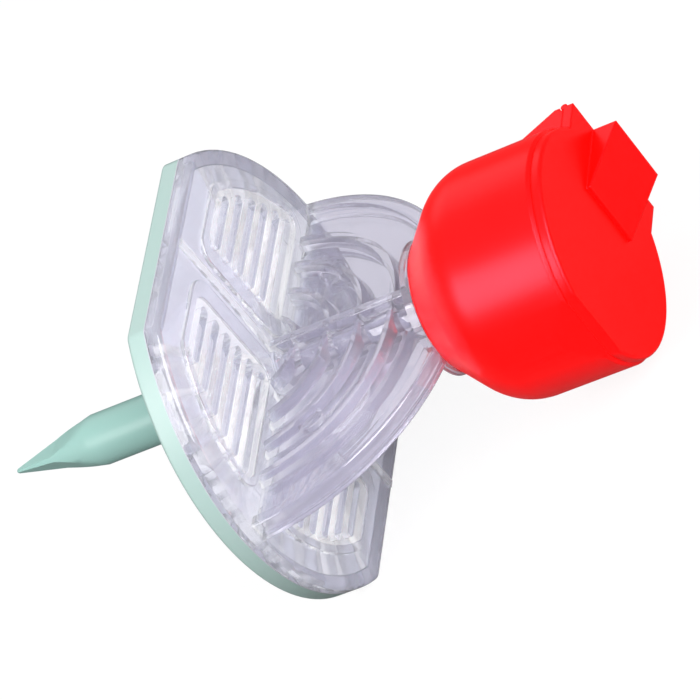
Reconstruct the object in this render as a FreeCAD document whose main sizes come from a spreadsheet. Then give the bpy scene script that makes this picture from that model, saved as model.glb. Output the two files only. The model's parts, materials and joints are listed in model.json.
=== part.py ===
"""Dispensing spike for drawing up from a vial.

Five pieces: a mint plate with its two-lumen spike, a white vent membrane, a clear housing with a ribbed
grip fan and a female Luer port, and a red snap cap made of a cup and a flip lid.

Every piece is drawn about one axis. Z runs from the point of the spike towards the cap, with zero on the
underside of the plate, X runs along the grip fan and Y from one flat of the plate to the other. The
finished part then lies down on one flat and on the rim of the cup, as it would on a bench.
"""
import FreeCAD, Part
import Sketcher
import math
import os
from FreeCAD import Placement, Rotation, Vector

doc = FreeCAD.newDocument("DispensingSpike")

# Driving dimensions, in millimetres and degrees
DIMENSIONS = [
    ("plate_radius", 20.0, "round ends of the plate and of the flange on it"),
    ("flat_half", 17.0, "axis to each flat of the plate"),
    ("corner_round", 1.2, "plan corners between a flat and a round end"),
    ("edge_round", 0.35, "lower edge of the plate"),
    ("plate_thick", 1.85, "mint plate"),
    ("chamber_edge", 1.3, "width of the welded border outside the air chamber"),
    ("chamber_depth", 0.85, "air chamber sunk in the plate"),
    ("rail_width", 0.8, "support rails under the membrane"),
    ("rail_pitch", 6.0, "spacing of the support rails"),
    ("rail_clear", 2.2, "end of a support rail to the flat wall of the chamber"),
    ("membrane_thick", 0.25, "vent membrane"),
    ("membrane_gap", 0.1, "membrane edge to chamber wall"),
    ("boss_radius", 1.7, "boss round the fluid channel on the plate"),
    ("boss_height", 1.3, "boss above the plate"),
    ("socket_gap", 0.08, "boss to its socket in the housing"),
    ("shaft_radius", 2.35, "spike, round and straight down to its point"),
    ("shaft_length", 16.6, "spike below the plate, without its point"),
    ("point_length", 9.1, "point of the spike"),
    ("tip_radius", 0.24, "blunt end of the point"),
    ("tip_round", 0.1, "bevel of the blunt end"),
    ("point_swell", 0.12, "how far the point bulges past a straight cone"),
    ("facet_depth", 0.5, "how deep a facet is ground at the middle of the point"),
    ("facet_shy", 0.05, "start of a facet outside the shaft, so that it runs out on the cone"),
    ("facet_turn", 27.0, "direction of the first facet about the axis"),
    ("fluid_radius", 0.8, "fluid lumen"),
    ("fluid_offset", 0.85, "fluid lumen off the axis"),
    ("fluid_end", 15.4, "depth where the fluid lumen ends"),
    ("fluid_window", 4.4, "height of the side window of the fluid lumen"),
    ("air_radius", 0.5, "air lumen"),
    ("air_offset", 1.2, "air lumen off the axis"),
    ("air_end", 10.0, "depth where the air lumen ends"),
    ("air_window", 1.8, "height of the side window of the air lumen"),
    ("window_share", 0.8, "side window of a lumen over the lumen's own width"),
    ("channel_radius", 0.9, "fluid channel through boss and housing"),
    ("flange_thick", 1.35, "clear flange above the plate"),
    ("flange_round", 0.6, "upper edge of the flange"),
    ("frame_edge", 3.0, "outline of the flange to the raised frame of a window"),
    ("frame_height", 0.35, "frames above the flange"),
    ("frame_width", 0.85, "frame beside its window"),
    ("frame_bar", 1.95, "broad side of the frame, along the bar"),
    ("frame_side", 1.35, "frame beside the fan, off the middle plane"),
    ("frame_corner", 2.0, "rounding of the frame's corners"),
    ("frame_round", 0.18, "upper edges of the frame"),
    ("window_depth", 0.2, "window below its frame"),
    ("bar_half", 1.2, "half width of the bar between two frames"),
    ("bar_bead", 0.42, "half width of the bead along the bar"),
    ("bead_height", 0.25, "bead above the flange"),
    ("slot_width", 0.95, "air slot in a window"),
    ("slot_first", 3.2, "first air slot off the middle plane"),
    ("slot_inset", 0.5, "end of an air slot inside the window"),
    ("slot_border", 0.9, "side of the last air slot to the flat side of the window"),
    ("fan_inset", 0.1, "outer arc of the grip fan inside the plate's radius"),
    ("fan_centre", 0.8, "height of the centre of all the fan's arcs"),
    ("fan_web", 0.5, "half thickness of the fan's web"),
    ("fan_rim", 1.05, "half thickness of the fan's rim"),
    ("fan_rim_width", 1.4, "rim of the fan, measured along its radius"),
    ("fan_round", 0.35, "edges of that rim"),
    ("rib_first", 4.7, "radius of the innermost concentric rib"),
    ("rib_clear", 3.9, "outermost concentric rib to the rim of the fan"),
    ("rib_root", 1.15, "width of a rib where it leaves the web"),
    ("rib_crest", 0.45, "width of a rib at its crest"),
    ("rib_depth", 2.4, "depth of the ribs at the middle of the fan, off the middle plane"),
    ("pad_radius", 1.3, "two round ejector pads on the fan's web"),
    ("pad_inset", 10.9, "middle of an ejector pad to the outer arc of the fan"),
    ("pad_height", 6.6, "ejector pads above the centre of the fan's arcs"),
    ("pad_proud", 0.5, "ejector pads past the web"),
    ("ridge_depth", 3.0, "depth of the cross ridge, off the middle plane"),
    ("ridge_half", 0.5, "half thickness of the cross ridge"),
    ("ridge_round", 0.18, "edges of the ridge's crest"),
    ("hub_radius", 1.9, "tube round the fluid channel"),
    ("hub_base", 2.5, "foot of that tube"),
    ("hub_foot", 0.9, "foot of the tube above the flange rim"),
    ("collar_radius", 6.1, "collar that carries the cap"),
    ("collar_thick", 0.8, "collar"),
    ("collar_height", 19.5, "top of the collar"),
    ("neck_radius", 2.8, "narrow end of the cone below the collar"),
    ("neck_height", 1.6, "cone below the collar"),
    ("seat_radius", 4.0, "seat of the cup on the port"),
    ("snap_bead", 0.4, "bead that holds the cup down, past the seat"),
    ("port_radius", 3.3, "barrel of the Luer port"),
    ("port_height", 12.9, "mouth of the port above the collar"),
    ("lug_radius", 3.9, "ears of the Luer lock"),
    ("lug_height", 1.2, "ears of the Luer lock"),
    ("lug_half", 1.7, "half width of an ear"),
    ("luer_mouth", 2.15, "radius of the Luer taper at the mouth"),
    ("luer_depth", 7.5, "depth of the Luer taper"),
    ("luer_taper", 0.06, "Luer taper, diameter over length"),
    ("cup_radius", 10.45, "cup and its rim"),
    ("cup_height", 14.7, "cup, from the collar to its rim"),
    ("bulge_radius", 5.5, "round between the cup's cone and its wall"),
    ("bulge_height", 6.78, "centre of that round above the collar"),
    ("cup_wall", 1.0, "wall of the cup"),
    ("cup_floor", 1.1, "floor of the cup"),
    ("seat_gap", 0.1, "hole in the cup's floor to the seat on the port"),
    ("cup_bevel", 0.3, "bevel on the rim of the cup"),
    ("thumb_half", 7.6, "half width of the thumb recess"),
    ("thumb_depth", 0.75, "thumb recess into the wall"),
    ("thumb_height", 2.6, "thumb recess below the rim"),
    ("lid_gap", 0.25, "lid edge inside the cup's outline"),
    ("lid_thick", 0.9, "disc of the lid"),
    ("lid_round", 0.3, "outer edge of the lid"),
    ("ring_gap", 0.2, "locating ring to the wall of the cup"),
    ("ring_wall", 0.9, "locating ring"),
    ("ring_height", 0.9, "locating ring below the disc"),
    ("seal_gap", 0.2, "seal ring round the ears of the port"),
    ("seal_wall", 0.8, "seal ring"),
    ("seal_reach", 0.4, "seal ring below the mouth of the port"),
    ("hinge_reach", 10.7, "axis to the film hinge"),
    ("hinge_half", 6.65, "half length of the hinge side"),
    ("hinge_relief", 3.75, "half width of the gap for the snap strap"),
    ("gusset_drop", 4.6, "gusset under the hinge, down the wall"),
    ("film_radius", 0.32, "rolled film of the hinge"),
    ("film_gap", 0.1, "groove round the film"),
    ("strap_half", 3.45, "half width of the snap strap"),
    ("strap_start", 3.3, "fold line of the strap, off the axis"),
    ("strap_end", 10.5, "outer edge of the strap"),
    ("strap_fold", 0.3, "step of the strap above the disc at its fold line"),
    ("strap_height", 2.3, "strap above the disc at its outer edge"),
    ("strap_wall", 0.7, "wall of the strap"),
]

FACETS = 3
RAILS = 5
RIBS = 4
SLOTS = 6

# How far the place of an edge may be off, in millimetres
SLACK = 0.02

sheet = doc.addObject("Spreadsheet::Sheet", "Sizes")
for row, (name, number, meaning) in enumerate(DIMENSIONS, 1):
    sheet.set(f"A{row}", name)
    sheet.set(f"B{row}", str(number))
    sheet.setAlias(f"B{row}", name)
    sheet.set(f"C{row}", meaning)
doc.recompute()


class Size:
    """A number together with the sheet expression that gives it."""

    def __init__(self, number, text):
        self.number = number
        self.text = text

    @staticmethod
    def of(value):
        return value if isinstance(value, Size) else Size(value, repr(value))

    def joined(self, other, sign, number):
        return Size(number, f"({self.text} {sign} {Size.of(other).text})")

    def __add__(self, other):
        return self.joined(other, "+", self.number + Size.of(other).number)

    def __sub__(self, other):
        return self.joined(other, "-", self.number - Size.of(other).number)

    def __mul__(self, other):
        return self.joined(other, "*", self.number * Size.of(other).number)

    def __truediv__(self, other):
        return self.joined(other, "/", self.number / Size.of(other).number)

    def __neg__(self):
        return Size(-self.number, f"(-1 * {self.text})")


def dim(alias):
    """One cell of the sheet."""
    return Size(float(sheet.get(alias)), f"Sizes.{alias}")


def leg(hypotenuse, side):
    """The other side of a right triangle."""
    longest, known = Size.of(hypotenuse), Size.of(side)
    number = math.sqrt(longest.number ** 2 - known.number ** 2)
    return Size(number, f"sqrt({longest.text} ^ 2 - {known.text} ^ 2)")


ZERO = Size(0.0, "0")
HALF_ROOT = Size(math.sqrt(0.5), "sqrt(0.5)")

# Heights along the axis that several pieces share
plate_top = dim("plate_thick")
rim_top = plate_top + dim("flange_thick")
frame_top = rim_top + dim("frame_height")
window_floor = frame_top - dim("window_depth")
collar_top = dim("collar_height")
port_mouth = collar_top + dim("port_height")
cup_top = collar_top + dim("cup_height")
lid_top = cup_top + dim("lid_thick")

# Radii and spacings that follow the plate
fan_radius = dim("plate_radius") - dim("fan_inset")
fan_rim_start = fan_radius - dim("fan_rim_width")
rib_pitch = (fan_rim_start - dim("rib_clear") - dim("rib_first")) / (RIBS - 1)
window_edge = dim("frame_edge") + dim("frame_width")
slot_last = dim("flat_half") - window_edge - dim("slot_border") - dim("slot_width") / 2
slot_pitch = (slot_last - dim("slot_first")) / (SLOTS - 1)


def new_body(label):
    body = doc.addObject("PartDesign::Body", label)
    body.Label = label
    return body


def bind(thing, **sizes):
    """Sets properties of a feature and ties them to the sheet."""
    for prop, size in sizes.items():
        thing.setExpression(prop, Size.of(size).text)


def plane_of(body, role):
    return next(part for part in body.Origin.OriginFeatures if part.Role == role)


def new_sketch(body, name, role="XY_Plane", height=ZERO):
    sketch = body.newObject("Sketcher::SketchObject", name)
    sketch.AttachmentSupport = [(plane_of(body, role), "")]
    sketch.MapMode = "FlatFace"
    sketch.AttachmentOffset = Placement(Vector(0, 0, height.number), Rotation())
    sketch.setExpression("AttachmentOffset.Base.z", height.text)
    return sketch


def pin(sketch, curve, end, x=None, y=None):
    """Holds one point of a curve at its distances from the sketch's origin."""
    for kind, axis, size in (("DistanceX", -2, x), ("DistanceY", -1, y)):
        if size is None:
            continue
        if size.number == 0:
            sketch.addConstraint(Sketcher.Constraint("PointOnObject", curve, end, axis))
            continue
        index = sketch.addConstraint(Sketcher.Constraint(kind, -1, 1, curve, end, size.number))
        sketch.setExpression(f"Constraints[{index}]", size.text)


def add_outline(sketch, steps):
    """Draws a closed outline.

    A step (x, y) starts a straight side. A step (x, y, centre_x, centre_y, turn) starts an arc about that
    centre, with a turn of 1 for counter-clockwise and -1 for clockwise.
    """
    steps = [[Size.of(value) for value in step[:4]] + list(step[4:]) for step in steps]
    sides = []
    for step, following in zip(steps, steps[1:] + steps[:1]):
        start = Vector(step[0].number, step[1].number, 0)
        finish = Vector(following[0].number, following[1].number, 0)
        if len(step) == 2:
            sides.append((sketch.addGeometry(Part.LineSegment(start, finish), False), 1, 2))
            continue
        centre = Vector(step[2].number, step[3].number, 0)
        first, last = (start, finish) if step[4] > 0 else (finish, start)
        angles = [math.atan2(*(point - centre)[1::-1]) for point in (first, last)]
        if angles[1] <= angles[0]:
            angles[1] += 2 * math.pi
        circle = Part.Circle(centre, Vector(0, 0, 1), (start - centre).Length)
        curve = sketch.addGeometry(Part.ArcOfCircle(circle, *angles), False)
        sides.append((curve, 1, 2) if step[4] > 0 else (curve, 2, 1))
    for place, step in enumerate(steps):
        before, _, joint = sides[place - 1]
        curve, start_end, _ = sides[place]
        sketch.addConstraint(Sketcher.Constraint("Coincident", before, joint, curve, start_end))
        pin(sketch, curve, start_end, step[0], step[1])
        if len(step) > 2:
            following = steps[(place + 1) % len(steps)]
            run = abs(following[0].number - step[0].number)
            rise = abs(following[1].number - step[1].number)
            if rise >= run:
                pin(sketch, curve, 3, x=step[2])
            else:
                pin(sketch, curve, 3, y=step[3])


def add_circle(sketch, radius, x=ZERO, y=ZERO):
    circle = Part.Circle(Vector(x.number, y.number, 0), Vector(0, 0, 1), radius.number)
    curve = sketch.addGeometry(circle, False)
    index = sketch.addConstraint(Sketcher.Constraint("Radius", curve, radius.number))
    sketch.setExpression(f"Constraints[{index}]", radius.text)
    pin(sketch, curve, 3, x, y)


def add_box(sketch, left, right, low, high):
    add_outline(sketch, [(left, low), (right, low), (right, high), (left, high)])


def add_truncated_circle(sketch, radius, half):
    """Round ends in X, straight flats in Y: the outline of the plate."""
    end = leg(radius, half)
    add_outline(sketch, [
        (end, -half, ZERO, ZERO, 1),
        (end, half),
        (-end, half, ZERO, ZERO, 1),
        (-end, -half),
    ])


def pad(body, sketch, name, length, symmetric=False, down=False):
    feature = body.newObject("PartDesign::Pad", name)
    feature.Profile = sketch
    feature.Midplane = symmetric
    feature.Reversed = down
    bind(feature, Length=length)
    return feature


def pocket(body, sketch, name, length, symmetric=False):
    feature = body.newObject("PartDesign::Pocket", name)
    feature.Profile = sketch
    feature.Midplane = symmetric
    bind(feature, Length=length)
    return feature


def revolve(body, sketch, name, kind="Revolution", axis="V_Axis", angle=360.0):
    feature = body.newObject(f"PartDesign::{kind}", name)
    feature.Profile = sketch
    feature.ReferenceAxis = (sketch, [axis])
    feature.Angle = angle
    return feature


def soften(body, base, name, kind, size, chosen):
    """A fillet or chamfer on the edges of the base that pass the test."""
    doc.recompute()
    names = [f"Edge{i}" for i, edge in enumerate(base.Shape.Edges, 1) if chosen(edge)]
    feature = body.newObject(f"PartDesign::{kind}", name)
    feature.Base = (base, names)
    bind(feature, **{"Radius" if kind == "Fillet" else "Size": size})
    return feature


def mirror(body, name, features, roles):
    """Repeats features across one or two of the body's own planes."""
    many = body.newObject("PartDesign::MultiTransform", name)
    many.Originals = features
    steps = []
    for role in roles:
        step = body.newObject("PartDesign::Mirrored", f"{name}_{role}")
        step.MirrorPlane = (plane_of(body, role), [""])
        steps.append(step)
    many.Transformations = steps
    body.Tip = many
    return many


def is_upright(edge):
    box = edge.BoundBox
    return box.XLength < SLACK and box.YLength < SLACK


def lies_at(height):
    """A test for edges that lie flat at one height."""
    def test(edge):
        box = edge.BoundBox
        return abs(box.ZMin - height.number) < SLACK and abs(box.ZMax - height.number) < SLACK
    return test


def ends_at(edge, across):
    """Whether an upright edge stands at a distance off the middle plane, on either side."""
    return is_upright(edge) and abs(abs(edge.BoundBox.YMin) - across.number) < SLACK


def make_spike_plate():
    """The mint moulding: plate, air chamber, support rails, boss and hollow spike."""
    body = new_body("spike_plate")

    outline = new_sketch(body, "plate_outline")
    add_truncated_circle(outline, dim("plate_radius"), dim("flat_half"))
    plate = pad(body, outline, "plate", plate_top)
    corners = soften(body, plate, "plate_corners", "Fillet", dim("corner_round"), is_upright)
    soften(body, corners, "plate_edge", "Fillet", dim("edge_round"), lies_at(ZERO))

    # The chamber under the membrane, with rails that hold the membrane up
    floor = plate_top - dim("chamber_depth")
    chamber = new_sketch(body, "chamber_outline", height=plate_top)
    add_truncated_circle(chamber, dim("plate_radius") - dim("chamber_edge"),
                         dim("flat_half") - dim("chamber_edge"))
    pocket(body, chamber, "chamber", dim("chamber_depth"))
    rail_sketch = new_sketch(body, "rail_outline", height=floor)
    first_rail = dim("rail_pitch") * (-(RAILS - 1) / 2)
    rail_half = dim("flat_half") - dim("chamber_edge") - dim("rail_clear")
    add_box(rail_sketch, first_rail - dim("rail_width") / 2, first_rail + dim("rail_width") / 2,
            -rail_half, rail_half)
    rail = pad(body, rail_sketch, "rail", dim("chamber_depth") - dim("membrane_thick"))
    rails = body.newObject("PartDesign::LinearPattern", "rails")
    rails.Originals = [rail]
    rails.Direction = (rail_sketch, ["H_Axis"])
    rails.Occurrences = RAILS
    bind(rails, Length=dim("rail_pitch") * (RAILS - 1))
    body.Tip = rails

    boss_sketch = new_sketch(body, "boss_outline", height=floor)
    add_circle(boss_sketch, dim("boss_radius"))
    pad(body, boss_sketch, "boss", dim("chamber_depth") + dim("boss_height"))

    # The spike, a round shaft and a swelling point with a blunt end
    end = -dim("shaft_length")
    tip = end - dim("point_length")
    middle = end - dim("point_length") / 2
    swell = (dim("shaft_radius") + dim("tip_radius")) / 2 + dim("point_swell")
    profile = new_sketch(body, "spike_profile", "XZ_Plane")
    add_outline(profile, [
        (ZERO, plate_top / 2),
        (dim("shaft_radius"), plate_top / 2),
        (dim("shaft_radius"), end),
        (swell, middle),
        (dim("tip_radius"), tip + dim("tip_round")),
        (dim("tip_radius") - dim("tip_round"), tip),
        (ZERO, tip),
    ])
    spike = revolve(body, profile, "spike")
    body.Tip = spike

    # Flat facets ground on the point
    facet_sketch = new_sketch(body, "facet_profile", "XZ_Plane")
    facet_sketch.AttachmentOffset = Placement(Vector(), Rotation(Vector(0, 1, 0), 1))
    bind(facet_sketch, **{"AttachmentOffset.Rotation.Angle": dim("facet_turn")})
    add_outline(facet_sketch, [
        (dim("shaft_radius") + dim("facet_shy"), end),
        (dim("shaft_radius") * 2, end),
        (dim("shaft_radius") * 2, tip - dim("tip_radius")),
        (dim("tip_radius") / 2, tip - dim("tip_radius")),
        (swell - dim("facet_depth"), middle),
    ])
    facet = pocket(body, facet_sketch, "facet", dim("shaft_radius") * 4, symmetric=True)
    facets = body.newObject("PartDesign::PolarPattern", "facets")
    facets.Originals = [facet]
    facets.Axis = (profile, ["V_Axis"])
    facets.Angle = 360.0
    facets.Occurrences = FACETS
    body.Tip = facets

    # The two lumens, side by side down the shaft, and their windows to the vial
    fluid = new_sketch(body, "fluid_lumen_outline", height=floor)
    add_circle(fluid, dim("fluid_radius"), y=dim("fluid_offset"))
    pocket(body, fluid, "fluid_lumen", floor + dim("fluid_end"))
    channel = new_sketch(body, "channel_outline", height=plate_top + dim("boss_height"))
    add_circle(channel, dim("channel_radius"))
    pocket(body, channel, "channel", dim("chamber_depth") + dim("boss_height"))
    air = new_sketch(body, "air_lumen_outline", height=floor / 2)
    add_circle(air, dim("air_radius"), x=-dim("air_offset"), y=-dim("air_radius"))
    pocket(body, air, "air_lumen", floor / 2 + dim("air_end"))
    passage = new_sketch(body, "air_passage_outline", height=floor / 2)
    add_box(passage, -(dim("hub_base") + dim("air_radius")), -dim("air_offset"),
            -dim("air_radius") * 2, ZERO)
    pocket(body, passage, "air_passage", floor / 4)
    shaft = new_sketch(body, "air_shaft_outline", height=floor)
    add_box(shaft, -(dim("hub_base") + dim("air_radius")), -(dim("boss_radius") + dim("socket_gap")),
            -dim("air_radius") * 2, ZERO)
    pocket(body, shaft, "air_shaft", floor / 2)
    fluid_side = new_sketch(body, "fluid_window_outline", "XZ_Plane")
    half = dim("fluid_radius") * dim("window_share")
    add_box(fluid_side, -half, half, -dim("fluid_end"), -(dim("fluid_end") - dim("fluid_window")))
    pocket(body, fluid_side, "fluid_window", dim("shaft_radius") * 2)
    air_side = new_sketch(body, "air_window_outline", "YZ_Plane")
    half = dim("air_radius") * dim("window_share")
    add_box(air_side, -dim("air_radius") - half, -dim("air_radius") + half,
            -dim("air_end"), -(dim("air_end") - dim("air_window")))
    pocket(body, air_side, "air_window", dim("shaft_radius") * 2)
    return body


def make_membrane():
    """The white hydrophobic membrane over the air chamber, with a hole for the boss."""
    body = new_body("vent_membrane")
    inset = dim("chamber_edge") + dim("membrane_gap")
    outline = new_sketch(body, "membrane_outline", height=plate_top - dim("membrane_thick"))
    add_truncated_circle(outline, dim("plate_radius") - inset, dim("flat_half") - inset)
    add_circle(outline, dim("boss_radius") + dim("membrane_gap"))
    pad(body, outline, "membrane", dim("membrane_thick"))
    return body


def window_outline(sketch, edge, bar, side, turn):
    """A frame or its window: straight beside the fan and the bar, a flat side and a round one."""
    radius = dim("plate_radius") - edge
    flat = dim("flat_half") - edge
    inner = radius - turn
    # Centres of the rounded corners
    side_x = leg(inner, side + turn)
    flat_x = leg(inner, flat - turn)
    scale = radius / inner
    add_outline(sketch, [
        (bar + turn, side),
        (side_x, side, side_x, side + turn, 1),
        (side_x * scale, (side + turn) * scale, ZERO, ZERO, 1),
        (flat_x * scale, (flat - turn) * scale, flat_x, flat - turn, 1),
        (flat_x, flat),
        (bar + turn, flat, bar + turn, flat - turn, 1),
        (bar, flat - turn),
        (bar, side + turn, bar + turn, side + turn, 1),
    ])


def slot_outline(sketch, across):
    """One air slot, round at both ends, from the bar out to the round side of the window."""
    half = dim("slot_width") / 2
    start = dim("bar_half") + dim("frame_bar") + dim("slot_inset") + half
    reach = dim("plate_radius") - window_edge - dim("slot_inset") - half
    finish = leg(reach, across)
    add_outline(sketch, [
        (start, across - half),
        (finish, across - half, finish, across, 1),
        (finish, across + half),
        (start, across + half, start, across, 1),
    ])


def make_flange():
    """The clear flange that is welded to the plate, with four framed and slotted windows."""
    body = new_body("flange")
    outline = new_sketch(body, "flange_outline", height=plate_top)
    add_truncated_circle(outline, dim("plate_radius"), dim("flat_half"))
    block = pad(body, outline, "flange_block", dim("flange_thick"))
    corners = soften(body, block, "flange_corners", "Fillet", dim("corner_round"), is_upright)
    soften(body, corners, "flange_edge", "Fillet", dim("flange_round"), lies_at(rim_top))

    rim = new_sketch(body, "frame_outline", height=rim_top)
    window_outline(rim, dim("frame_edge"), dim("bar_half"), dim("frame_side"), dim("frame_corner"))
    frame = pad(body, rim, "frame", dim("frame_height"))
    window = new_sketch(body, "window_outline", height=frame_top)
    window_outline(window, window_edge, dim("bar_half") + dim("frame_bar"),
                   dim("frame_side") + dim("frame_width"), dim("frame_corner") - dim("frame_width"))
    opening = pocket(body, window, "window", dim("window_depth"))
    slots = new_sketch(body, "slot_outline", height=window_floor)
    for count in range(SLOTS):
        slot_outline(slots, dim("slot_first") + slot_pitch * count)
    cuts = pocket(body, slots, "slots", window_floor - plate_top)
    windows = mirror(body, "windows", [frame, opening, cuts], ("YZ_Plane", "XZ_Plane"))
    soften(body, windows, "frame_edges", "Fillet", dim("frame_round"), lies_at(frame_top))

    bead = new_sketch(body, "bead_outline", height=rim_top)
    add_box(bead, -dim("bar_bead"), dim("bar_bead"), dim("hub_radius"),
            dim("flat_half") - dim("flange_round"))
    bar = pad(body, bead, "bead", dim("bead_height"))
    mirror(body, "beads", [bar], ("XZ_Plane",))
    return body


def flipped(path):
    """A path of outline steps, run back to front on the other side of the X axis."""
    back = [(path[-1][0], -path[-1][1])]
    for step in reversed(path[:-1]):
        if len(step) > 2:
            back[-1] += (step[2], -step[3], step[4])
        back.append((step[0], -step[1]))
    return back


def make_fan():
    """The grip fan: a half turn of a comb profile, trimmed so that its ribs fall away to both sides."""
    comb = new_body("fan_comb")
    profile = new_sketch(comb, "comb_profile", "XY_Plane", dim("fan_centre"))
    web, rim = dim("fan_web"), dim("fan_rim")
    crest, depth = dim("rib_crest") / 2, dim("rib_depth")
    root = dim("rib_root") / 2
    outer, rim_start, turn = fan_radius, fan_rim_start, dim("fan_round")
    upper = [(ZERO, web)]
    for count in range(RIBS):
        middle = dim("rib_first") + rib_pitch * count
        upper += [(middle - root, web), (middle - crest, depth),
                  (middle + crest, depth), (middle + root, web)]
    upper += [
        (rim_start - (rim - web), web),
        (rim_start, rim - turn, rim_start + turn, rim - turn, -1),
        (rim_start + turn, rim),
        (outer - turn, rim, outer - turn, rim - turn, -1),
        (outer, rim - turn),
    ]
    add_outline(profile, upper + flipped(upper))
    turned = comb.newObject("PartDesign::Revolution", "comb")
    turned.Profile = profile
    turned.ReferenceAxis = (profile, ["V_Axis"])
    turned.Angle = 180.0
    turned.Reversed = True

    # Where the ejector pins of the mould push on the web
    pins = new_sketch(comb, "pad_outline", "XZ_Plane")
    reach, height = outer - dim("pad_inset"), dim("fan_centre") + dim("pad_height")
    add_circle(pins, dim("pad_radius"), reach, height)
    add_circle(pins, dim("pad_radius"), -reach, height)
    pad(comb, pins, "ejector_pads", (web + dim("pad_proud")) * 2, symmetric=True)

    roof = new_body("fan_roof")
    plan = new_sketch(roof, "roof_plan", height=plate_top)
    reach = fan_radius + dim("fan_rim")
    eave = dim("fan_rim")
    add_outline(plan, [(reach, -eave), (reach, eave), (ZERO, depth),
                       (-reach, eave), (-reach, -eave), (ZERO, -depth)])
    pad(roof, plan, "roof", collar_top - plate_top)

    fan = doc.addObject("Part::Common", "fan")
    fan.Base, fan.Tool = comb, roof
    return fan


def make_port():
    """The clear core: tube, cross ridge, collar and female Luer lock port."""
    body = new_body("port")
    profile = new_sketch(body, "port_profile", "XZ_Plane")
    foot = rim_top + dim("hub_foot")
    collar = collar_top - dim("collar_thick")
    seat_top = collar_top + dim("cup_floor") + dim("seat_gap")
    bead = dim("seat_radius") + dim("snap_bead")
    add_outline(profile, [
        (ZERO, plate_top),
        (dim("hub_base"), plate_top),
        (dim("hub_base"), foot - dim("hub_foot") / 2),
        (dim("hub_radius"), foot),
        (dim("hub_radius"), collar - dim("neck_height")),
        (dim("neck_radius"), collar - dim("neck_height")),
        (dim("collar_radius"), collar),
        (dim("collar_radius"), collar_top),
        (dim("seat_radius"), collar_top),
        (dim("seat_radius"), seat_top),
        (bead, seat_top),
        (bead, seat_top + dim("snap_bead") / 2),
        (dim("port_radius"), seat_top + dim("snap_bead") * 2),
        (dim("port_radius"), port_mouth),
        (ZERO, port_mouth),
    ])
    revolve(body, profile, "core")

    ridge = new_sketch(body, "ridge_outline", height=plate_top)
    add_box(ridge, -dim("ridge_half"), dim("ridge_half"), -dim("ridge_depth"), dim("ridge_depth"))
    web = pad(body, ridge, "ridge", collar - plate_top)
    soften(body, web, "ridge_edge", "Fillet", dim("ridge_round"),
          lambda edge: ends_at(edge, dim("ridge_depth")))

    lug = new_sketch(body, "lug_outline", height=port_mouth)
    end = leg(dim("lug_radius"), dim("lug_half"))
    add_outline(lug, [
        (ZERO, -dim("lug_half")),
        (end, -dim("lug_half"), ZERO, ZERO, 1),
        (end, dim("lug_half")),
        (ZERO, dim("lug_half")),
    ])
    ear = pad(body, lug, "lug", dim("lug_height"), down=True)
    mirror(body, "lugs", [ear], ("YZ_Plane",))
    return body


def make_bore():
    """Everything that is hollow along the axis of the housing."""
    body = new_body("bore")
    profile = new_sketch(body, "bore_profile", "XZ_Plane")
    socket = dim("boss_radius") + dim("socket_gap")
    socket_top = plate_top + dim("boss_height") + dim("socket_gap")
    taper_end = dim("luer_mouth") - dim("luer_taper") * dim("luer_depth") / 2
    add_outline(profile, [
        (ZERO, plate_top - dim("socket_gap")),
        (socket, plate_top - dim("socket_gap")),
        (socket, socket_top),
        (dim("channel_radius"), socket_top),
        (dim("channel_radius"), port_mouth - dim("luer_depth")),
        (taper_end, port_mouth - dim("luer_depth")),
        (dim("luer_mouth"), port_mouth),
        (ZERO, port_mouth),
    ])
    revolve(body, profile, "hollow")
    return body


def make_housing():
    """The clear moulding: flange, fan and port are one piece, bored through."""
    whole = doc.addObject("Part::MultiFuse", "housing_solid")
    whole.Shapes = [make_flange(), make_fan(), make_port()]
    whole.Refine = True
    housing = doc.addObject("Part::Cut", "clear_housing")
    housing.Base, housing.Tool = whole, make_bore()
    housing.Refine = True
    return housing


def cup_profile(sketch, wall, low):
    """The cup's section from the axis out: a cone at 45 degrees, a round and an upright wall."""
    centre_r = dim("cup_radius") - dim("bulge_radius")
    centre_z = collar_top + dim("bulge_height")
    turn = dim("bulge_radius") - wall
    cone_r = centre_r + turn * HALF_ROOT
    cone_z = centre_z - turn * HALF_ROOT
    add_outline(sketch, [
        (ZERO, low),
        (cone_r - (cone_z - low), low),
        (cone_r, cone_z, centre_r, centre_z, 1),
        (centre_r + turn, centre_z),
        (centre_r + turn, cup_top),
        (ZERO, cup_top),
    ])


def thumb_recess(body):
    """One sloping flat opposite the hinge, across the rim of the cup and the edge of the lid."""
    thumb = new_sketch(body, "thumb_profile", "XZ_Plane")
    slope = dim("thumb_depth") / dim("thumb_height")
    top_x = dim("cup_radius") - dim("thumb_depth") - dim("lid_thick") * slope
    outside = dim("cup_radius") + dim("thumb_depth")
    low = cup_top - dim("thumb_height")
    add_outline(thumb, [
        (top_x, lid_top),
        (dim("cup_radius"), low),
        (outside, low),
        (outside, lid_top),
    ])
    return pocket(body, thumb, "thumb_recess", dim("thumb_half") * 2, symmetric=True)


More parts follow.
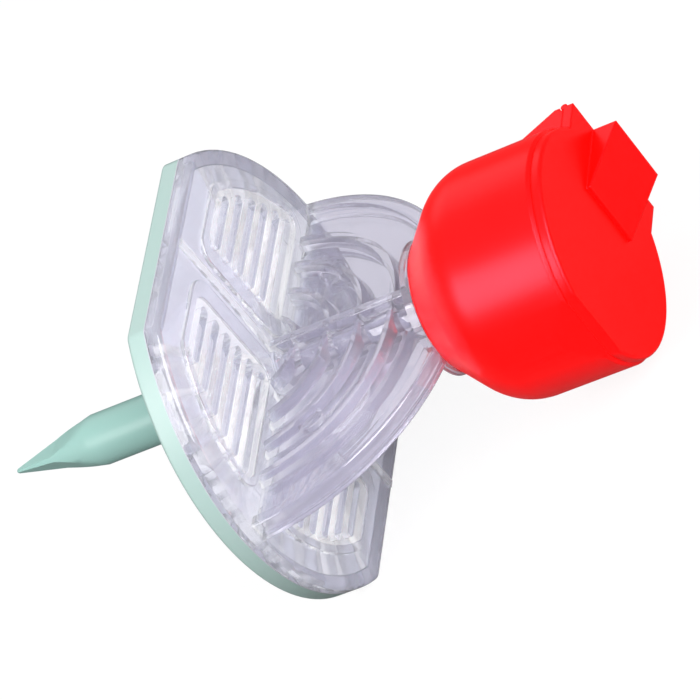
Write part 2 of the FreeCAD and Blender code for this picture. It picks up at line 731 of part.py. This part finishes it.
def make_cup():
    """The red cup, snapped over the seat on the port, with gussets under its hinge."""
    body = new_body("cap_cup")
    outside = new_sketch(body, "cup_outside", "XZ_Plane")
    cup_profile(outside, ZERO, collar_top)
    block = revolve(body, outside, "cup_block")
    soften(body, block, "cup_edge", "Chamfer", dim("cup_bevel"), lies_at(cup_top))

    # The gusset's slope runs from the hinge back to the wall
    gusset_half = (dim("hinge_half") - dim("hinge_relief")) / 2
    gusset = new_sketch(body, "gusset_profile", "XZ_Plane",
                        -(dim("hinge_relief") + gusset_half))
    inner = dim("cup_radius") - dim("bulge_radius")
    add_outline(gusset, [
        (-inner, cup_top),
        (-dim("hinge_reach"), cup_top),
        (-dim("hinge_reach"), cup_top - dim("lid_thick")),
        (-inner, cup_top - dim("gusset_drop") * 2),
    ])
    brace = pad(body, gusset, "gusset", gusset_half * 2, symmetric=True)
    mirror(body, "gussets", [brace], ("XZ_Plane",))

    inside = new_sketch(body, "cup_inside", "XZ_Plane")
    cup_profile(inside, dim("cup_wall"), collar_top + dim("cup_floor"))
    revolve(body, inside, "cup_hollow", "Groove")
    hole = new_sketch(body, "cup_hole_outline", height=collar_top + dim("cup_floor"))
    add_circle(hole, dim("seat_radius") + dim("seat_gap"))
    pocket(body, hole, "cup_hole", dim("cup_floor"))

    thumb_recess(body)

    # The groove that the rolled film lies in
    film = new_sketch(body, "film_groove_outline", "XZ_Plane")
    add_circle(film, dim("film_radius") + dim("film_gap"), -dim("hinge_reach"), cup_top)
    pocket(body, film, "film_groove", dim("hinge_half") * 2 + dim("film_gap") * 2, symmetric=True)
    return body


def make_lid():
    """The red flip lid, with its hinge side, locating ring, seal ring and raised snap strap."""
    body = new_body("flip_lid")
    radius = dim("cup_radius") - dim("lid_gap")
    half = dim("hinge_half")
    end = leg(radius, half)
    disc = new_sketch(body, "lid_outline", height=cup_top)
    add_outline(disc, [
        (-end, -half, ZERO, ZERO, 1),
        (-end, half),
        (-dim("hinge_reach"), half),
        (-dim("hinge_reach"), -half),
    ])
    plate = pad(body, disc, "lid_disc", dim("lid_thick"))
    soften(body, plate, "lid_edge", "Fillet", dim("lid_round"),
          lambda edge: lies_at(lid_top)(edge) and edge.BoundBox.XMax > 0)

    thumb_recess(body)

    ring_outer = dim("cup_radius") - dim("cup_wall") - dim("ring_gap")
    ring = new_sketch(body, "ring_outline", height=cup_top)
    add_circle(ring, ring_outer)
    add_circle(ring, ring_outer - dim("ring_wall"))
    pad(body, ring, "locating_ring", dim("ring_height"), down=True)
    seal_inner = dim("lug_radius") + dim("seal_gap")
    seal = new_sketch(body, "seal_outline", height=cup_top)
    add_circle(seal, seal_inner)
    add_circle(seal, seal_inner + dim("seal_wall"))
    pad(body, seal, "seal_ring", cup_top - port_mouth + dim("seal_reach"), down=True)

    # The snap strap stands up from its fold line to the hinge side
    strap = new_sketch(body, "strap_profile", "XZ_Plane")
    add_outline(strap, [
        (-dim("strap_start"), lid_top),
        (-dim("strap_start"), lid_top + dim("strap_fold")),
        (-dim("strap_end"), lid_top + dim("strap_height")),
        (-dim("strap_end"), lid_top),
    ])
    pad(body, strap, "strap", dim("strap_half") * 2, symmetric=True)
    hollow = new_sketch(body, "strap_hollow_profile", "XZ_Plane")
    inset = dim("strap_wall")
    slope = (dim("strap_height") - dim("strap_fold")) / (dim("strap_end") - dim("strap_start"))
    low_start = dim("strap_start") + inset * 2
    ring_inner = ring_outer - dim("ring_wall")
    add_outline(hollow, [
        (-low_start, cup_top),
        (-(ring_inner - inset), cup_top + (ring_inner - inset - low_start) * slope),
        (-(ring_inner - inset), cup_top),
    ])
    pocket(body, hollow, "strap_hollow", (dim("strap_half") - inset) * 2, symmetric=True)

    # The rolled film, on the hinge's own axis, on both sides of the strap
    film_half = (half - dim("hinge_relief")) / 2
    film = new_sketch(body, "film_outline", "XZ_Plane", -(dim("hinge_relief") + film_half))
    add_circle(film, dim("film_radius"), -dim("hinge_reach"), cup_top)
    roll = pad(body, film, "film", film_half * 2, symmetric=True)
    mirror(body, "films", [roll], ("XZ_Plane",))
    return body


def lie_down(pieces):
    """Lays the part on one flat of its flange and on the rim of its cup, with the fan level."""
    foot_y, foot_z = dim("flat_half"), rim_top - dim("flange_round")
    head_y, head_z = dim("cup_radius"), cup_top - dim("cup_bevel")
    lean = math.atan2((foot_y - head_y).number, (head_z - foot_z).number)
    along = Vector(math.cos(lean), 0, -math.sin(lean))
    across = Vector(-math.sin(lean), 0, -math.cos(lean))
    turned = Placement(Vector(), Rotation(Vector(0, -1, 0), across, along, "ZXY"))
    whole = Part.makeCompound([piece.Shape for piece in pieces])
    whole.Placement = turned
    box = whole.optimalBoundingBox(False, False)
    shift = Vector(-box.Center.x, -box.Center.y, -box.ZMin)
    for piece in pieces:
        piece.Placement = Placement(shift, turned.Rotation)
    print("lean", math.degrees(lean), "shift", tuple(shift))


def check():
    for item in doc.Objects:
        for word in ("Invalid", "Error"):
            if word in item.State:
                raise RuntimeError(f"{item.Label} is {item.State}")


pieces = [make_spike_plate(), make_membrane(), make_housing(), make_cup(), make_lid()]
doc.recompute()
check()
lie_down(pieces)
doc.recompute()
check()

os.makedirs("parts", exist_ok=True)
for piece in pieces:
    shape = piece.Shape
    if shape.isNull() or not shape.isValid() or len(shape.Solids) != 1:
        raise RuntimeError(f"{piece.Label} is not one valid solid")
    shape.exportStep(f"parts/{piece.Label}.step")
    print(piece.Label, "volume", round(shape.Volume, 2), "faces", len(shape.Faces))
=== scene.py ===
"""Dispensing spike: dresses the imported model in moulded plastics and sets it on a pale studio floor."""
import json
import math

import bpy
import numpy as np
from bpy.props import FloatProperty, FloatVectorProperty, PointerProperty
from mathutils import Matrix, Vector

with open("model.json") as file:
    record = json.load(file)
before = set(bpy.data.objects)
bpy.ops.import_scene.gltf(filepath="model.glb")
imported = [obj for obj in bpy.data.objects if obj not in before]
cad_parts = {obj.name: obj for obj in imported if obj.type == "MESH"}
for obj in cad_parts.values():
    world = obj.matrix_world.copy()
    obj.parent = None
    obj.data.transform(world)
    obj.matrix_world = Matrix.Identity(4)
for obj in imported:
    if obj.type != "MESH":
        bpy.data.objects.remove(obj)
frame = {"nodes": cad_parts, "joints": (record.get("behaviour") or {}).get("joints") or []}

bl_info = {
    "name": "Dispensing Spike",
    "version": (1, 0, 0),
    "blender": (4, 5, 0),
    "location": "3D Viewport > Sidebar > Spike",
    "description": "Dresses a vented dispensing spike with a flip-lid cap",
    "category": "Object",
}

MM = 0.001
LAMP_DISTANCE = 0.36
# Heights along the part's axis in millimetres: top of the plate, and of the flange beside its frames
PLATE_TOP = 1.85
BAND_TOP = 3.20

# The part's own axes, read from the hinge of the lid: t along the axis, u along the fan, v across the flats
hinge = frame["joints"][0]
HINGE_LOCAL = (-10.7, 0.0, 34.2)
V_AXIS = -np.array(hinge["axis"], float)
U_AXIS = np.array([0.0, -1.0, 0.0])
T_AXIS = np.cross(U_AXIS, V_AXIS)
AXES = np.array([U_AXIS, V_AXIS, T_AXIS])
ORIGIN = np.array(hinge["pos_m"], float) - MM * np.array(HINGE_LOCAL) @ AXES


def placed(points):
    """Turns points in the part's own axes, in millimetres, into the frame, in metres."""
    return ORIGIN + MM * np.asarray(points, float) @ AXES


def lit_node(tree, kind, **inputs):
    """A node with numbers set on its own sockets. A value that is a socket is linked instead."""
    node = tree.nodes.new(kind)
    for name, value in inputs.items():
        socket = node.inputs[name.replace("_", " ")]
        if isinstance(value, bpy.types.NodeSocket):
            tree.links.new(value, socket)
        else:
            socket.default_value = value
    return node


def blend(tree, factor, low, high):
    """The number between low and high that a factor from 0 to 1 gives."""
    return lit_node(tree, "ShaderNodeMapRange", Value=factor, To_Min=low, To_Max=high).outputs["Result"]


def ray_socket(tree, kind):
    return tree.nodes.new("ShaderNodeLightPath").outputs[kind]


def straight_rays(tree):
    """One for rays that come from the camera or pass through clear plastic."""
    either = tree.nodes.new("ShaderNodeMath")
    either.operation = "MAXIMUM"
    tree.links.new(ray_socket(tree, "Is Camera Ray"), either.inputs[0])
    tree.links.new(ray_socket(tree, "Is Transmission Ray"), either.inputs[1])
    return either.outputs[0]


def grain_group():
    """Fine mould grain: two scales of noise give a mask round one half and a height."""
    tree = bpy.data.node_groups.new("Mould Grain", "ShaderNodeTree")
    for name, low in (("Scale", 1.0), ("Fine Share", 0.0)):
        socket = tree.interface.new_socket(name, in_out="INPUT", socket_type="NodeSocketFloat")
        socket.min_value = low
    tree.interface.new_socket("Mask", in_out="OUTPUT", socket_type="NodeSocketFloat")
    tree.interface.new_socket("Height", in_out="OUTPUT", socket_type="NodeSocketFloat")
    entry = tree.nodes.new("NodeGroupInput")
    leave = tree.nodes.new("NodeGroupOutput")
    place = tree.nodes.new("ShaderNodeTexCoord")
    broad = lit_node(tree, "ShaderNodeTexNoise", Vector=place.outputs["Object"],
                     Scale=entry.outputs["Scale"], Detail=2.0, Roughness=0.5)
    finer = tree.nodes.new("ShaderNodeMath")
    finer.operation = "MULTIPLY"
    finer.inputs[1].default_value = 9.0
    tree.links.new(entry.outputs["Scale"], finer.inputs[0])
    fine = lit_node(tree, "ShaderNodeTexNoise", Vector=place.outputs["Object"],
                    Scale=finer.outputs[0], Detail=3.0, Roughness=0.6)
    both = tree.nodes.new("ShaderNodeMix")
    tree.links.new(entry.outputs["Fine Share"], both.inputs["Factor"])
    tree.links.new(broad.outputs["Fac"], both.inputs["A"])
    tree.links.new(fine.outputs["Fac"], both.inputs["B"])
    tree.links.new(broad.outputs["Fac"], leave.inputs["Mask"])
    tree.links.new(both.outputs["Result"], leave.inputs["Height"])
    return tree


def height_group():
    """How far a point lies along the part's axis from the plate towards the cap, in millimetres."""
    tree = bpy.data.node_groups.new("Axis Height", "ShaderNodeTree")
    tree.interface.new_socket("Height", in_out="OUTPUT", socket_type="NodeSocketFloat")
    leave = tree.nodes.new("NodeGroupOutput")
    place = tree.nodes.new("ShaderNodeTexCoord")
    along = tree.nodes.new("ShaderNodeVectorMath")
    along.operation = "DOT_PRODUCT"
    along.inputs[1].default_value = T_AXIS / MM
    tree.links.new(place.outputs["Object"], along.inputs[0])
    above = tree.nodes.new("ShaderNodeMath")
    above.operation = "SUBTRACT"
    above.inputs[1].default_value = float(ORIGIN @ T_AXIS) / MM
    tree.links.new(along.outputs["Value"], above.inputs[0])
    tree.links.new(above.outputs[0], leave.inputs["Height"])
    return tree


def by_height(tree, stops):
    """A colour that changes along the axis. Each stop is a height in millimetres and a colour."""
    height = tree.nodes.new("ShaderNodeGroup")
    height.node_tree = bpy.data.node_groups.get("Axis Height") or height_group()
    low, high = stops[0][0], stops[-1][0]
    share = lit_node(tree, "ShaderNodeMapRange", Value=height.outputs["Height"],
                     From_Min=low, From_Max=high)
    ramp = tree.nodes.new("ShaderNodeValToRGB")
    tree.links.new(share.outputs["Result"], ramp.inputs["Fac"])
    points = ramp.color_ramp.elements
    while len(points) < len(stops):
        points.new(1.0)
    for point, (level, colour) in zip(points, stops):
        point.position = (level - low) / (high - low)
        point.color = (*colour, 1.0)
    return ramp.outputs["Color"]


def new_material(name):
    material = bpy.data.materials.new(name)
    material.use_nodes = True
    tree = material.node_tree
    return material, tree, tree.nodes["Principled BSDF"]


def add_grain(tree, shader, scale, share, rough, strength, distance):
    """Drives roughness and bump of a plastic by one mould grain. Returns its mask and its bump node."""
    grain = tree.nodes.new("ShaderNodeGroup")
    grain.node_tree = bpy.data.node_groups.get("Mould Grain") or grain_group()
    grain.inputs["Scale"].default_value = scale
    grain.inputs["Fine Share"].default_value = share
    mask = grain.outputs["Mask"]
    tree.links.new(blend(tree, mask, *rough), shader.inputs["Roughness"])
    bump = lit_node(tree, "ShaderNodeBump", Height=grain.outputs["Height"],
                    Strength=strength, Distance=distance)
    tree.links.new(bump.outputs["Normal"], shader.inputs["Normal"])
    return mask, bump


def mottle(tree, shader, mask, low, high):
    """Lets the base colour wander between two colours with the mask of a grain."""
    tint = tree.nodes.new("ShaderNodeMix")
    tint.data_type = "RGBA"
    tint.inputs["A"].default_value = (*low, 1.0)
    tint.inputs["B"].default_value = (*high, 1.0)
    tree.links.new(mask, tint.inputs["Factor"])
    tree.links.new(tint.outputs["Result"], shader.inputs["Base Color"])


def shade_softly(obj, angle=math.radians(32)):
    """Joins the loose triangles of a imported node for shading, and keeps its creases."""
    obj.data.polygons.foreach_set("use_smooth", np.ones(len(obj.data.polygons), bool))
    weld = obj.modifiers.new("joined", "WELD")
    weld.merge_threshold = 1e-6
    split = obj.modifiers.new("creases", "EDGE_SPLIT")
    split.split_angle = angle
    split.use_edge_sharp = False
    even = obj.modifiers.new("even_shading", "WEIGHTED_NORMAL")
    even.keep_sharp = True


def dress(node, material):
    obj = frame["nodes"][node]
    obj.data.materials.clear()
    obj.data.materials.append(material)
    shade_softly(obj)
    return obj


class SPIKE_PG_look(bpy.types.PropertyGroup):
    """Colours and finish of the plastics."""

    mint: FloatVectorProperty(
        name="Mint", description="Colour of the spike", subtype="COLOR",
        size=3, min=0.0, max=1.0, default=(0.36, 0.60, 0.55))
    plate: FloatVectorProperty(
        name="Pale mint", description="Colour of the plate", subtype="COLOR",
        size=3, min=0.0, max=1.0, default=(0.41, 0.555, 0.525))
    red: FloatVectorProperty(
        name="Red", description="Colour of the cap", subtype="COLOR",
        size=3, min=0.0, max=1.0, default=(0.98, 0.002, 0.0004))
    clear: FloatVectorProperty(
        name="Clear", description="Tint of the clear housing", subtype="COLOR",
        size=3, min=0.0, max=1.0, default=(0.99, 1.0, 1.0))
    band: FloatVectorProperty(
        name="Clear rim", description="Tint of the clear flange beside its frames", subtype="COLOR",
        size=3, min=0.0, max=1.0, default=(0.66, 0.67, 0.755))
    deep: FloatVectorProperty(
        name="Deep clear", description="Tint where the clear housing stands high", subtype="COLOR",
        size=3, min=0.0, max=1.0, default=(0.60, 0.585, 0.69))
    gloss: FloatProperty(
        name="Gloss roughness", description="Roughness of the moulded plastics", subtype="FACTOR",
        min=0.0, max=1.0, default=0.34)


class SPIKE_PG_studio(bpy.types.PropertyGroup):
    """Lamps of the studio."""

    key_power: FloatProperty(
        name="Key lamp", description="Power of the key lamp", subtype="POWER",
        min=0.0, default=0.62)
    side_power: FloatProperty(
        name="Side lamp", description="Power of the lamp on the cap's side", subtype="POWER",
        min=0.0, default=1.45)
    back_power: FloatProperty(
        name="Back lamp", description="Power of the lamp behind and above", subtype="POWER",
        min=0.0, default=0.07)
    fill: FloatProperty(
        name="Fill", description="Strength of the even white fill", min=0.0, max=2.0, default=0.7)


def look():
    return bpy.context.scene.spike_look


class SPIKE_OT_plate(bpy.types.Operator):
    """Gives the plate and the spike their mint plastic."""

    bl_idname = "spike.plate"
    bl_label = "Plate and Spike"

    def execute(self, context):
        material, tree, shader = new_material("mint_plastic")
        rough = look().gloss
        add_grain(tree, shader, 260.0, 0.7, (rough - 0.04, rough + 0.06), 0.12, 0.04 * MM)
        # The thin plate is paler than the spike, and the weld on its top face looks white
        spike, plate, weld = look().mint, look().plate, (0.54, 0.54, 0.61)
        tint = by_height(tree, ((-0.6, spike), (-0.1, spike), (0.05, plate),
                                (PLATE_TOP - 0.10, plate), (PLATE_TOP - 0.05, weld)))
        tree.links.new(tint, shader.inputs["Base Color"])
        shader.inputs["Subsurface Weight"].default_value = 0.1
        shader.inputs["Subsurface Radius"].default_value = (0.002, 0.003, 0.0025)
        shader.inputs["IOR"].default_value = 1.48
        dress("spike_plate", material)
        return {"FINISHED"}


class SPIKE_OT_membrane(bpy.types.Operator):
    """Gives the vent membrane its matt white film."""

    bl_idname = "spike.membrane"
    bl_label = "Vent Membrane"

    def execute(self, context):
        material, tree, shader = new_material("white_membrane")
        white = np.array((0.965, 0.97, 0.97))
        mask, _ = add_grain(tree, shader, 900.0, 0.8, (0.75, 0.9), 0.3, 0.05 * MM)
        mottle(tree, shader, mask, white * 0.98, white)
        dress("vent_membrane", material)
        return {"FINISHED"}


class SPIKE_OT_housing(bpy.types.Operator):
    """Gives the housing its clear polished plastic."""

    bl_idname = "spike.housing"
    bl_label = "Clear Housing"

    def execute(self, context):
        material, tree, shader = new_material("clear_plastic")
        add_grain(tree, shader, 140.0, 0.1, (0.03, 0.06), 0.05, 0.06 * MM)
        # The rim and the raised fan are deeper to look through than the windows over the membrane
        band, window, deep = look().band, look().clear, look().deep
        tint = by_height(tree, ((BAND_TOP - 0.5, band), (BAND_TOP + 0.03, band), (BAND_TOP + 0.08, window),
                                (BAND_TOP + 0.24, window), (BAND_TOP + 0.31, band),
                                (BAND_TOP + 0.6, band), (BAND_TOP + 1.4, deep)))
        tree.links.new(tint, shader.inputs["Base Color"])
        shader.inputs["Transmission Weight"].default_value = 0.80
        shader.inputs["IOR"].default_value = 1.45
        shader.inputs["Coat Weight"].default_value = 0.8
        shader.inputs["Coat Roughness"].default_value = 0.04
        # Its shadow is lighter than the plastic itself
        solid = blend(tree, ray_socket(tree, "Is Shadow Ray"), 0.96, 0.12)
        tree.links.new(solid, shader.inputs["Alpha"])
        dress("clear_housing", material)
        return {"FINISHED"}


class SPIKE_OT_cap(bpy.types.Operator):
    """Gives the cup and the lid their red plastic."""

    bl_idname = "spike.cap"
    bl_label = "Cap"

    def execute(self, context):
        material, tree, shader = new_material("red_plastic")
        tone = np.array(look().red)
        rough = look().gloss
        mask, bump = add_grain(tree, shader, 240.0, 0.75, (rough - 0.05, rough), 0.10, 0.04 * MM)
        mottle(tree, shader, mask, tone * 0.97, tone)
        shader.inputs["IOR"].default_value = 1.49
        shader.inputs["Specular IOR Level"].default_value = 0.4
        shader.inputs["Specular Tint"].default_value = (1.0, 0.65, 1.0, 1.0)
        # Moulded edges are a little round, so they catch the light
        edge = tree.nodes.new("ShaderNodeBevel")
        edge.samples = 6
        edge.inputs["Radius"].default_value = 0.25 * MM
        tree.links.new(edge.outputs["Normal"], bump.inputs["Normal"])
        # Painted light: a red glow over the whole cap lifts its shaded side, in place of the light the thin
        # red walls would pass on
        shader.inputs["Emission Color"].default_value = (1.0, 0.0, 0.0, 1.0)
        shader.inputs["Emission Strength"].default_value = 0.27
        for node in ("cap_cup", "flip_lid"):
            dress(node, material)
        return {"FINISHED"}


class SPIKE_OT_stage(bpy.types.Operator):
    """Sets up the floor, the studio light and the camera."""

    bl_idname = "spike.stage"
    bl_label = "Studio"

    def execute(self, context):
        scene = context.scene
        scene.view_settings.view_transform = "Standard"
        self.add_floor(scene)
        self.add_world(scene)
        self.add_lamps(scene)
        self.add_camera(scene)
        return {"FINISHED"}

    def add_floor(self, scene):
        half = 1.5
        mesh = bpy.data.meshes.new("studio_floor")
        mesh.from_pydata([(-half, -half, 0), (half, -half, 0), (half, half, 0), (-half, half, 0)],
                         [], [(0, 1, 2, 3)])
        floor = bpy.data.objects.new("studio_floor", mesh)
        scene.collection.objects.link(floor)
        material, tree, shader = new_material("studio_floor")
        shader.inputs["Base Color"].default_value = (0.14, 0.14, 0.14, 1.0)
        shader.inputs["Roughness"].default_value = 0.9
        shader.inputs["Specular IOR Level"].default_value = 0.0
        lift = blend(tree, ray_socket(tree, "Is Glossy Ray"), 0.0, 0.02)
        lift = blend(tree, straight_rays(tree), lift, 0.88)
        light = lit_node(tree, "ShaderNodeEmission", Color=(1.0, 1.0, 1.0, 1.0), Strength=lift)
        both = tree.nodes.new("ShaderNodeAddShader")
        tree.links.new(shader.outputs[0], both.inputs[0])
        tree.links.new(light.outputs[0], both.inputs[1])
        tree.links.new(both.outputs[0], tree.nodes["Material Output"].inputs["Surface"])
        mesh.materials.append(material)

    def add_world(self, scene):
        """White to the camera and through clear plastic. Its fill on the part fades towards the horizon."""
        world = bpy.data.worlds.new("studio_world")
        world.use_nodes = True
        scene.world = world
        tree = world.node_tree
        fill = scene.spike_studio.fill
        place = tree.nodes.new("ShaderNodeTexCoord")
        height = lit_node(tree, "ShaderNodeSeparateXYZ", Vector=place.outputs["Generated"])
        light = blend(tree, height.outputs["Z"], fill * 0.40, fill * 1.05)
        light = blend(tree, ray_socket(tree, "Is Glossy Ray"), light, 0.08)
        light = blend(tree, straight_rays(tree), light, 1.0)
        base = tree.nodes["Background"]
        base.inputs["Color"].default_value = (1.0, 1.0, 1.0, 1.0)
        tree.links.new(light, base.inputs["Strength"])

    def add_lamps(self, scene):
        middle = Vector(placed((0.0, 0.0, 16.0)))
        for name, way, size, power in (
            ("key_lamp", (-0.29, -0.70, 0.65), 0.22, scene.spike_studio.key_power),
            ("side_lamp", (0.80, -0.45, 0.38), 0.30, scene.spike_studio.side_power),
            ("back_lamp", (-0.36, 0.70, 0.62), 0.22, scene.spike_studio.back_power),
        ):
            lamp = bpy.data.lights.new(name, "AREA")
            lamp.shape = "DISK"
            lamp.size = size
            lamp.energy = power
            obj = bpy.data.objects.new(name, lamp)
            obj.visible_camera = False
            scene.collection.objects.link(obj)
            spot = middle + Vector(way).normalized() * LAMP_DISTANCE
            turn = (spot - middle).to_track_quat("Z", "Y").to_matrix().to_4x4()
            obj.matrix_world = Matrix.Translation(spot) @ turn

    def add_camera(self, scene):
        """A long lens at the photograph's angle. Its axes are given in the part's own axes."""
        right = np.array((-0.1093, 0.5448, 0.8314)) @ AXES
        up = np.array((-0.7012, -0.6351, 0.3240)) @ AXES
        back = np.cross(right, up)
        lens = bpy.data.cameras.new("photo_camera")
        lens.sensor_width = 36.0
        lens.lens = 231.43
        lens.clip_start = 0.01
        lens.clip_end = 10.0
        camera = bpy.data.objects.new("photo_camera", lens)
        scene.collection.objects.link(camera)
        spot = placed((270.677, -209.554, 182.638))
        camera.matrix_world = Matrix([
            (right[i], up[i], back[i], spot[i]) for i in range(3)] + [(0.0, 0.0, 0.0, 1.0)])
        scene.camera = camera


class SPIKE_PT_panel(bpy.types.Panel):
    """Lists the colours, the finish and the lamps, with a button for each piece and for the studio."""

    bl_idname = "SPIKE_PT_panel"
    bl_label = "Dispensing Spike"
    bl_space_type = "VIEW_3D"
    bl_region_type = "UI"
    bl_category = "Spike"

    def draw(self, context):
        for group in (context.scene.spike_look, context.scene.spike_studio):
            for name in group.__annotations__:
                self.layout.prop(group, name)
        for operator in OPERATORS:
            self.layout.operator(operator.bl_idname)


GROUPS = (SPIKE_PG_look, SPIKE_PG_studio)
OPERATORS = (SPIKE_OT_plate, SPIKE_OT_membrane, SPIKE_OT_housing, SPIKE_OT_cap, SPIKE_OT_stage)


def register():
    for cls in GROUPS + OPERATORS + (SPIKE_PT_panel,):
        bpy.utils.register_class(cls)
    bpy.types.Scene.spike_look = PointerProperty(type=SPIKE_PG_look)
    bpy.types.Scene.spike_studio = PointerProperty(type=SPIKE_PG_studio)


def unregister():
    del bpy.types.Scene.spike_studio
    del bpy.types.Scene.spike_look
    for cls in reversed(GROUPS + OPERATORS + (SPIKE_PT_panel,)):
        bpy.utils.unregister_class(cls)


def main():
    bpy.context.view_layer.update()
    register()
    bpy.ops.spike.plate()
    bpy.ops.spike.membrane()
    bpy.ops.spike.housing()
    bpy.ops.spike.cap()
    bpy.ops.spike.stage()


if __name__ == "__main__":
    main()
